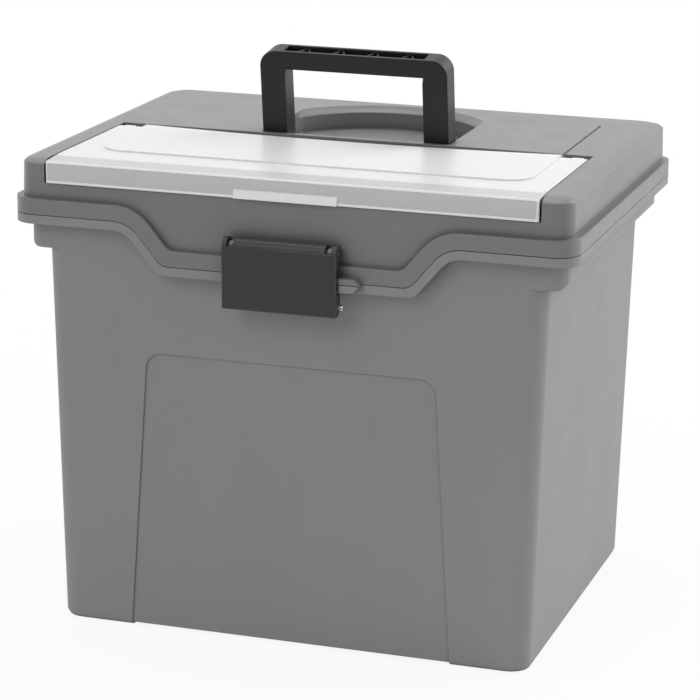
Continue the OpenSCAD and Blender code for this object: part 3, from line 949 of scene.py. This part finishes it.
@dataclass
class Handle:
    """Folding handle with an open channel and ribs along its grip."""

    material: Material
    axis: Point = (0.0, 10.362, 286.65)
    lean: float = 8.0
    width: float = 121.4
    length: float = 60.0
    depth: float = 15.5
    leg: float = 16.0
    grip: float = 12.2
    corner: float = 10.0
    wall: float = 2.3
    channel: float = 7.0
    rib: float = 1.3
    rib_reach: float = 6.0
    rib_drop: float = 1.5
    rib_bite: float = 0.3
    rib_root: float = 0.5
    rib_gap: float = 0.8
    opening_round: float = 2.8
    channel_past: float = 1.0

    @property
    def inner(self) -> float:
        """Half the opening between the legs."""
        return self.width / 2 - self.leg

    def body_mesh(self) -> BMesh:
        """Shapes the grip bar, the legs and their round feet.

        Returns:
            The mesh, in millimetres.
        """
        bm = bmesh.new()
        half, inner, deep = self.width / 2, self.inner, self.depth / 2
        low = self.length - self.grip
        box(bm, (-half, -deep, low), (half, deep, self.length))
        for x in (-inner, inner):
            cut(bm, (x, 0.0, 0.0), Axis.X)
        for drop in (low, deep):
            ends = faces_at(bm, lambda c, n: n.z < -0.9 and abs(c.x) > inner and c.z < low + 0.1)
            lowest = min(f.calc_center_median().z for f in ends)
            ends = [f for f in ends if f.calc_center_median().z < lowest + 0.1]
            push(bm, ends, (0.0, 0.0, -drop))
        round_edges(bm, edges_at(bm, Axis.Y, lambda c: abs(c.x) > half - 0.1 and c.z > self.length - 0.1),
                    self.corner, 10)
        round_edges(bm, edges_at(bm, Axis.X, lambda c: c.z < -deep + 0.1), deep - 0.02, 10)
        round_edges(bm, edges_at(bm, Axis.X, lambda c: abs(c.x) < inner and abs(c.z - low) < 0.1
                                 and abs(c.y) > deep - 0.1), self.opening_round, 4)
        return bm

    def open_channel(self, bm: BMesh) -> None:
        """Sinks the channel into the top of the grip.

        Args:
            bm: The handle's mesh, in millimetres.
        """
        reach = self.inner + self.channel_past
        side = self.depth / 2 - self.wall
        for x in (-reach, reach):
            cut(bm, (x, 0.0, 0.0), Axis.X)
        for y in (-side, side):
            cut(bm, (0.0, y, 0.0), Axis.Y)
        top = faces_at(bm, lambda c, n: n.z > 0.9 and c.z > self.length - 0.1
                       and abs(c.x) < reach and abs(c.y) < side)
        push(bm, top, (0.0, 0.0, -self.channel))

    def add_ribs(self, bm: BMesh) -> None:
        """Stands four V-shaped ribs in the channel.

        Args:
            bm: The handle's mesh, in millimetres.
        """
        side = self.depth / 2 - self.wall + self.rib_bite
        run = Vector((self.rib_reach - self.rib_gap, -2 * side, 0.0))
        for place in (-1.5, -0.5, 0.5, 1.5):
            for hand in (-1, 1):
                floor = self.length - self.channel - self.rib_root
                verts = box(bm, (-self.rib / 2, -run.length / 2, floor),
                            (self.rib / 2, run.length / 2, self.length - self.rib_drop))
                angle = math.atan2(run.x, 2 * side) * hand
                bmesh.ops.rotate(bm, verts=verts, cent=Vector((0, 0, 0)),
                                 matrix=Matrix.Rotation(angle, 3, "Z"))
                aside = place * self.inner / 2 + hand * (self.rib_reach + self.rib_gap) / 2
                bmesh.ops.translate(bm, verts=verts, vec=Vector((aside, 0.0, 0.0)))

    def build(self) -> Object:
        """Builds the handle in the lean of its rest place.

        Returns:
            The new object.
        """
        bm = self.body_mesh()
        self.open_channel(bm)
        self.add_ribs(bm)
        bmesh.ops.rotate(bm, verts=bm.verts, cent=Vector((0, 0, 0)),
                         matrix=Matrix.Rotation(math.radians(self.lean), 3, "X"))
        bmesh.ops.translate(bm, verts=bm.verts, vec=Vector(self.axis))
        return Piece("carrying_handle", "handle", "handle_plastic", self.material,
                     stands_for=("handle",), edge=Edge.SOFT, segments=3).finish(bm)


# --------------------------------------------------------------------- studio


@dataclass
class PhotoCamera:
    """Camera at the place that was solved from the photograph."""

    azimuth: float = 18.06
    elevation: float = 15.456
    roll: float = 0.532
    distance: float = 1809.35
    target: Point = (-1.443, 0.0, 155.49)
    focal_px: float = 2846.28
    frame_px: float = 700.0
    sensor_mm: float = 36.0
    far_m: float = 50.0

    def build(self) -> Object:
        """Adds the camera and makes it the scene's own.

        Returns:
            The new object.
        """
        a, e, turn = (math.radians(v) for v in (self.azimuth, self.elevation, self.roll))
        back = Vector((math.sin(a) * math.cos(e), -math.cos(a) * math.cos(e), math.sin(e)))
        right = (-back).cross(Axis.Z.vector).normalized()
        up = right.cross(-back)
        across = right * math.cos(turn) + up * math.sin(turn)
        above = up * math.cos(turn) - right * math.sin(turn)
        data = bpy.data.cameras.new("photo_camera")
        data.sensor_width = self.sensor_mm
        data.lens = self.focal_px / self.frame_px * data.sensor_width
        data.clip_end = self.far_m
        camera = bpy.data.objects.new("photo_camera", data)
        place = (Vector(self.target) + back * self.distance) * MM
        matrix = Matrix((across, above, back)).transposed().to_4x4()
        camera.matrix_world = Matrix.Translation(place) @ matrix
        bpy.context.scene.collection.objects.link(camera)
        bpy.context.scene.camera = camera
        return camera


@dataclass
class Lamp:
    """A soft area lamp that looks at the box."""

    name: str
    place: Point
    size: float
    power: float
    target: Point = (0.0, 0.0, 0.15)

    def build(self) -> Object:
        """Adds the lamp.

        Returns:
            The new object.
        """
        data = bpy.data.lights.new(self.name, "AREA")
        data.shape = "SQUARE"
        data.size = self.size
        data.energy = self.power
        lamp = bpy.data.objects.new(self.name, data)
        lamp.location = Vector(self.place)
        aim = Vector(self.target) - lamp.location
        lamp.rotation_euler = aim.to_track_quat("-Z", "Y").to_euler()
        bpy.context.scene.collection.objects.link(lamp)
        return lamp


@dataclass
class Studio:
    """Pale floor, white surroundings and soft lamps."""

    lamps: tuple[Lamp, ...] = (
        Lamp("right_soft", (1.6, 1.3, 1.4), 1.4, 29.0),
        Lamp("top_soft", (-0.4, 0.4, 2.6), 1.6, 20.0),
        Lamp("front_soft", (-0.7, -2.0, 1.7), 1.4, 12.0),
    )
    ambient: float = 0.6
    front_dark: float = 0.22
    near_white: float = 0.9
    floor_size: float = 14.0
    floor_sink: float = 0.0002
    floor_fade: tuple[float, float] = (0.3, 0.8)
    floor_color: Color = (0.93, 0.93, 0.93)

    def background_rays(self, g: Graph) -> tuple[NodeSocket, NodeSocket]:
        """Finds the rays that see the background as white.

        Args:
            g: The graph to add to.

        Returns:
            The mask of camera, glossy and transmission rays, and that of glossy rays alone.
        """
        path = g.add("ShaderNodeLightPath")
        glossy = path.outputs["Is Glossy Ray"]
        seen = g.math("MAXIMUM", g.math("MAXIMUM", path.outputs["Is Camera Ray"], glossy),
                      path.outputs["Is Transmission Ray"])
        return seen, glossy

    def build_world(self) -> None:
        """Makes the surroundings white to the camera and plain to the object."""
        world = bpy.data.worlds.new("studio")
        bpy.context.scene.world = world
        world.use_nodes = True
        g = Graph(world.node_tree)
        seen, glossy = self.background_rays(g)
        split = g.add("ShaderNodeSeparateXYZ")
        g.feed(split.inputs[0], g.add("ShaderNodeTexCoord").outputs["Generated"])
        ahead = g.math("MULTIPLY", g.remap(split.outputs["Y"], 0.1, -0.5), glossy)
        plain, white = g.add("ShaderNodeBackground"), g.add("ShaderNodeBackground")
        plain.inputs["Strength"].default_value = self.ambient
        white.inputs["Strength"].default_value = 1.0
        dark = self.front_dark
        g.feed(white.inputs["Color"], g.blend(ahead, (1.0, 1.0, 1.0, 1.0), (dark, dark, dark, 1.0)))
        mix = g.add("ShaderNodeMixShader")
        g.feed(mix.inputs[0], seen)
        g.feed(mix.inputs[1], plain.outputs[0])
        g.feed(mix.inputs[2], white.outputs[0])
        g.feed(g.add("ShaderNodeOutputWorld").inputs["Surface"], mix.outputs[0])

    def build_floor(self) -> Object:
        """Lays a pale floor that keeps the object's shadow and fades to white.

        Returns:
            The new object.
        """
        bm = bmesh.new()
        bmesh.ops.create_grid(bm, x_segments=1, y_segments=1, size=self.floor_size / 2)
        bmesh.ops.translate(bm, verts=bm.verts, vec=Vector((0, 0, -self.floor_sink)))
        mesh = bpy.data.meshes.new("floor")
        bm.to_mesh(mesh)
        bm.free()
        material = bpy.data.materials.new("pale_floor")
        material.use_nodes = True
        g = Graph(material.node_tree)
        place = g.add("ShaderNodeTexCoord").outputs["Object"]
        length = g.add("ShaderNodeVectorMath", operation="LENGTH")
        g.feed(length.inputs[0], place)
        far = g.remap(length.outputs["Value"], *self.floor_fade, self.near_white, 1.0)
        seen, glossy = self.background_rays(g)
        paint = g.add("ShaderNodeBsdfDiffuse")
        paint.inputs["Color"].default_value = (*self.floor_color, 1.0)
        split = g.add("ShaderNodeSeparateXYZ")
        g.feed(split.inputs[0], place)
        ahead = g.math("MULTIPLY", g.remap(split.outputs["Y"], -0.15, -0.5), glossy)
        glow = g.add("ShaderNodeEmission")
        g.feed(glow.inputs["Strength"], g.remap(ahead, 0.0, 1.0, 1.0, self.front_dark))
        mix = g.add("ShaderNodeMixShader")
        g.feed(mix.inputs[0], g.math("MULTIPLY", far, seen))
        g.feed(mix.inputs[1], paint.outputs[0])
        g.feed(mix.inputs[2], glow.outputs[0])
        g.feed(g.add("ShaderNodeOutputMaterial").inputs["Surface"], mix.outputs[0])
        mesh.materials.append(material)
        floor = bpy.data.objects.new("floor", mesh)
        bpy.context.scene.collection.objects.link(floor)
        return floor

    def build(self) -> None:
        """Builds the world, the floor and the lamps."""
        self.build_world()
        self.build_floor()
        for lamp in self.lamps:
            lamp.build()


def dress_pins(frame: dict[str, Any], material: Material) -> None:
    """Gives every steel pin its drawn finish.

    Args:
        frame: The loaded frame.
        material: The steel.
    """
    for name in ("latch_pin", "catch_rod", "hinge_pin_left", "hinge_pin_right",
                 "handle_pin_left", "handle_pin_right"):
        slots = frame["nodes"][name].data.materials
        slots.clear()
        slots.append(material)
        LOG.info("%s is dressed in place", name)


def main() -> None:
    """Builds the whole visual model in order."""
    logging.basicConfig(level=logging.INFO, format="%(name)s: %(message)s")
    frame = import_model()
    bpy.context.scene.view_settings.view_transform = "Standard"
    PhotoCamera().build()
    Studio().build()
    finishes = Finishes.build()
    Shell(node="tub", body="tub", slot="tub_plastic", material=finishes.tub).build(frame)
    Shell(node="lid", body="lid", slot="lid_plastic", material=finishes.lid).build(frame)
    OrganizerFlap(material=finishes.flap).build(frame)
    Latch(material=finishes.latch).build(frame)
    Handle(finishes.handle).build()
    dress_pins(frame, finishes.steel)


if __name__ == "__main__":
    main()
